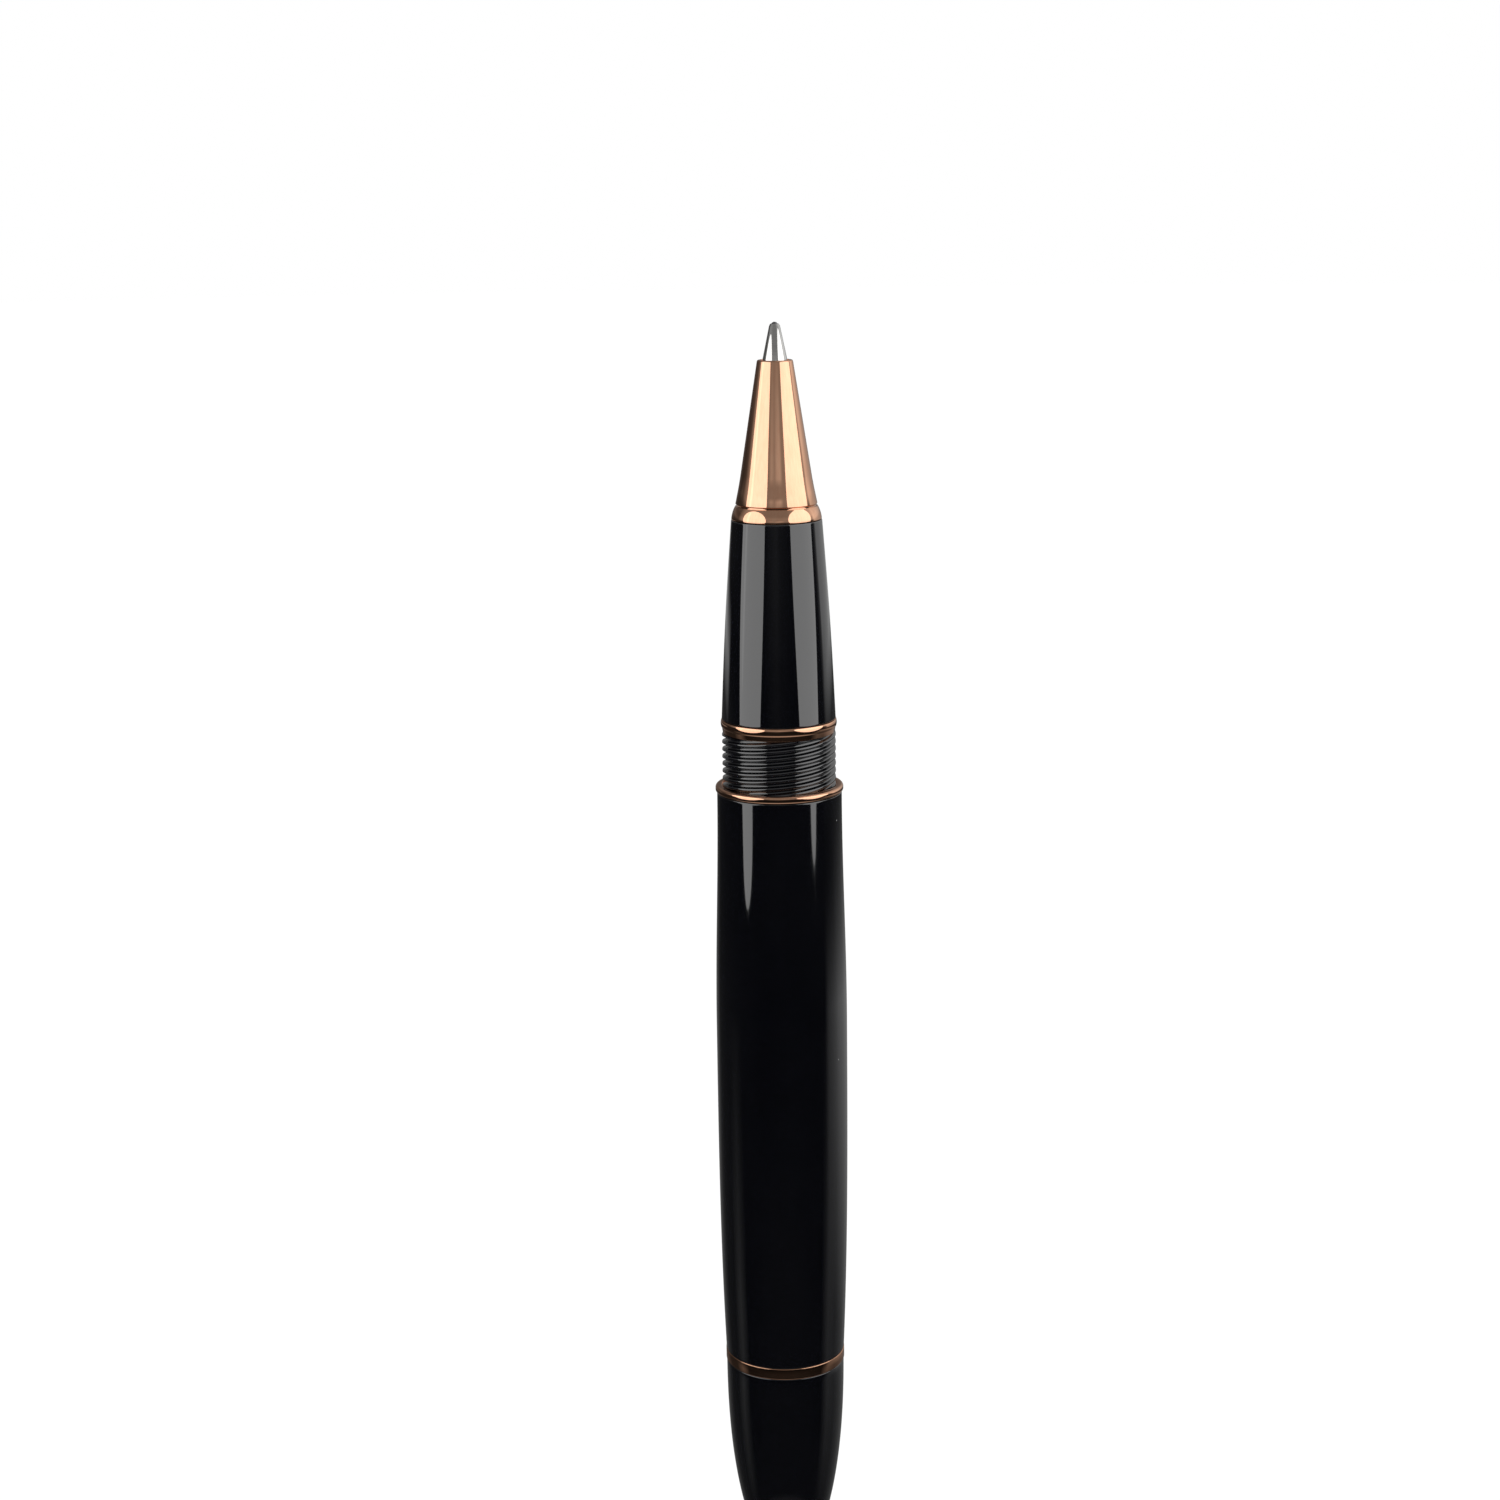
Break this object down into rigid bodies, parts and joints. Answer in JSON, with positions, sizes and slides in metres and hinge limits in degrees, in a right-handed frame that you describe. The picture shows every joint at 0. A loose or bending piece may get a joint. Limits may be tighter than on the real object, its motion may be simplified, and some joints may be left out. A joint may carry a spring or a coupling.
{
  "type": "rollerball pen",
  "caption": "Uncapped rollerball pen: steel point in a plated nose cone, tapered grip that unscrews, threaded cap collar, trim rings, cigar barrel and domed tail, with a sprung refill inside.",
  "frame": {"origin": "on the pen's axis where the fingers hold the barrel, 73 mm below the tip", "axes": "+Z along the pen's axis, from the tail to the tip; X and Y across it"},
  "size_m": [0.013, 0.013, 0.128],
  "materials": {
    "black_resin": "polished black resin",
    "rose_gold": "polished rose-gold plating on turned brass",
    "point_steel": "turned and polished stainless steel",
    "ball_carbide": "ground dark carbide",
    "inner_brass": "plain turned brass",
    "refill_plastic": "moulded black plastic",
    "refill_metal": "drawn metal tube",
    "ink_fibre": "ink-soaked fibre bundle",
    "seat_plastic": "moulded pale plastic",
    "seal_rubber": "soft black rubber",
    "spring_steel": "drawn spring wire"
  },
  "bodies": {
    "barrel": {"barrel": "black_resin", "barrel_ring": "rose_gold", "thread_collar": "black_resin", "collar_bush": "inner_brass", "seal_ring": "seal_rubber", "tail_ring": "rose_gold", "tail_cone": "black_resin", "tail_sleeve": "inner_brass", "spring_seat": "seat_plastic", "refill_spring": "spring_steel"},
    "ring": {"section_ring": "rose_gold"},
    "section": {"grip_section": "black_resin", "section_nipple": "inner_brass", "nose_cone": "rose_gold"},
    "refill": {"tip_point": "point_steel", "refill_neck": "refill_plastic", "refill_tube": "refill_metal", "ink_reservoir": "ink_fibre", "ink_feed": "ink_fibre", "refill_plug": "refill_plastic"},
    "ball": {"tip_ball": "ball_carbide"}
  },
  "joints": [
    {"name": "section_advance", "type": "slide", "parent": "barrel", "child": "ring", "axis": [0, 0, 1], "range_m": [0, 0.0045]},
    {"name": "section_unscrew", "type": "hinge", "parent": "ring", "child": "section", "pos_m": [0, 0, 0.03355], "axis": [0, 0, 1], "range_deg": [0, 2160]},
    {"name": "refill_push", "type": "slide", "parent": "ring", "child": "refill", "axis": [0, 0, 1], "range_m": [-0.001, 0], "stiffness_N_per_m": 250, "springref_m": 0.004, "deforming": ["refill_spring"]},
    {"name": "ball_roll", "type": "hinge", "parent": "refill", "child": "ball", "pos_m": [0, 0, 0.07265], "axis": [1, 0, 0], "continuous": true}
  ],
  "couplings": [
    {"joint": "section_unscrew", "follows": "section_advance", "rad_per_m": 8377.6}
  ]
}
